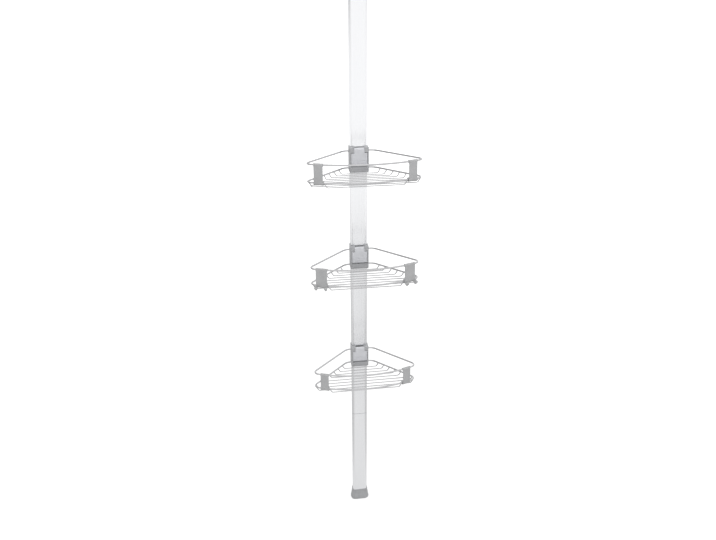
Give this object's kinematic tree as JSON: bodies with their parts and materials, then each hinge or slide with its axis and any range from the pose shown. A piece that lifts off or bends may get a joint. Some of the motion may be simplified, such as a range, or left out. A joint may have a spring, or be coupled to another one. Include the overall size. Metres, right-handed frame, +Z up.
{
  "type": "tension pole shelf unit",
  "caption": "Floor-to-ceiling tension pole with wire corner shelves that clamp on with flip levers, a telescoping upper tube and a sprung ceiling foot.",
  "frame": {"origin": "middle of the floor foot's sole, on the floor under the pole", "axes": "+Z up along the pole, -Y towards the front of the shelves, +X to the right seen from the front"},
  "size_m": [0.307, 0.1914, 2.4],
  "materials": {
    "pole_aluminium": "satin silver anodised, fine lengthwise grain",
    "foot_rubber": "matt grey moulded rubber",
    "inner_plastic": "plain moulded nylon",
    "spring_steel": "bright drawn steel",
    "grey_plastic": "fine-grained grey moulding",
    "plate_plastic": "fine-grained grey moulding, a shade lighter than the carriers",
    "lever_plastic": "lighter grey moulding, satin",
    "brake_rubber": "dark friction rubber",
    "shelf_wire": "polished stainless wire"
  },
  "bodies": {
    "pole": {"floor_foot": "foot_rubber", "lower_leg": "pole_aluminium", "leg_joiner": "grey_plastic", "main_pole": "pole_aluminium", "lock_collar": "grey_plastic", "lock_pin": "spring_steel"},
    "upper_pole": {"upper_pole": "pole_aluminium", "pole_guide": "inner_plastic", "end_bush": "inner_plastic", "spring_seat": "inner_plastic", "seat_pin": "spring_steel", "tension_spring": "spring_steel"},
    "spring_foot": {"plunger": "inner_plastic", "ceiling_foot": "foot_rubber"},
    "lock_lever": {"lock_lever": "lever_plastic"},
    "lock_pad": {"lock_pad": "brake_rubber"},
    "lower_shelf": {"lower_carrier": "grey_plastic", "lower_lever_pin": "spring_steel", "lower_rim_wire": "shelf_wire", "lower_frame_wire": "shelf_wire", "lower_floor_wires": "shelf_wire", "lower_left_plate": "plate_plastic", "lower_right_plate": "plate_plastic"},
    "lower_lever": {"lower_lever": "lever_plastic"},
    "lower_pad": {"lower_brake_pad": "brake_rubber"},
    "middle_shelf": {"middle_carrier": "grey_plastic", "middle_lever_pin": "spring_steel", "middle_rim_wire": "shelf_wire", "middle_frame_wire": "shelf_wire", "middle_floor_wires": "shelf_wire", "middle_left_plate": "plate_plastic", "middle_right_plate": "plate_plastic"},
    "middle_lever": {"middle_lever": "lever_plastic"},
    "middle_pad": {"middle_brake_pad": "brake_rubber"},
    "top_shelf": {"top_carrier": "grey_plastic", "top_lever_pin": "spring_steel", "top_rim_wire": "shelf_wire", "top_frame_wire": "shelf_wire", "top_floor_wires": "shelf_wire", "top_left_plate": "plate_plastic", "top_right_plate": "plate_plastic"},
    "top_lever": {"top_lever": "lever_plastic"},
    "top_pad": {"top_brake_pad": "brake_rubber"}
  },
  "joints": [
    {"name": "upper_pole_slide", "type": "slide", "parent": "pole", "child": "upper_pole", "axis": [0, 0, 1], "range_m": [-0.4, 0.25]},
    {"name": "spring_foot_slide", "type": "slide", "parent": "upper_pole", "child": "spring_foot", "axis": [0, 0, 1], "range_m": [-0.024, 0], "stiffness_N_per_m": 1500, "springref_m": 0.004, "deforming": ["tension_spring"]},
    {"name": "lock_lever_hinge", "type": "hinge", "parent": "pole", "child": "lock_lever", "pos_m": [0, -0.021, 1.88], "axis": [-1, 0, 0], "range_deg": [0, 95]},
    {"name": "lock_pad_slide", "type": "slide", "parent": "pole", "child": "lock_pad", "axis": [0, -1, 0], "range_m": [0, 0.001]},
    {"name": "lower_shelf_slide", "type": "slide", "parent": "pole", "child": "lower_shelf", "axis": [0, 0, 1], "range_m": [-0.45, 0.13]},
    {"name": "lower_lever_hinge", "type": "hinge", "parent": "lower_shelf", "child": "lower_lever", "pos_m": [0, -0.021, 0.638], "axis": [-1, 0, 0], "range_deg": [0, 95]},
    {"name": "lower_pad_slide", "type": "slide", "parent": "lower_shelf", "child": "lower_pad", "axis": [0, -1, 0], "range_m": [0, 0.001]},
    {"name": "middle_shelf_slide", "type": "slide", "parent": "pole", "child": "middle_shelf", "axis": [0, 0, 1], "range_m": [-0.13, 0.1]},
    {"name": "middle_lever_hinge", "type": "hinge", "parent": "middle_shelf", "child": "middle_lever", "pos_m": [0, -0.021, 0.9835], "axis": [-1, 0, 0], "range_deg": [0, 95]},
    {"name": "middle_pad_slide", "type": "slide", "parent": "middle_shelf", "child": "middle_pad", "axis": [0, -1, 0], "range_m": [0, 0.001]},
    {"name": "top_shelf_slide", "type": "slide", "parent": "pole", "child": "top_shelf", "axis": [0, 0, 1], "range_m": [-0.1, 0.45]},
    {"name": "top_lever_hinge", "type": "hinge", "parent": "top_shelf", "child": "top_lever", "pos_m": [0, -0.021, 1.28], "axis": [-1, 0, 0], "range_deg": [0, 95]},
    {"name": "top_pad_slide", "type": "slide", "parent": "top_shelf", "child": "top_pad", "axis": [0, -1, 0], "range_m": [0, 0.001]}
  ],
  "couplings": [
    {"joint": "lock_pad_slide", "follows": "lock_lever_hinge", "m_per_rad": 0.0006},
    {"joint": "lower_pad_slide", "follows": "lower_lever_hinge", "m_per_rad": 0.0006},
    {"joint": "middle_pad_slide", "follows": "middle_lever_hinge", "m_per_rad": 0.0006},
    {"joint": "top_pad_slide", "follows": "top_lever_hinge", "m_per_rad": 0.0006}
  ]
}
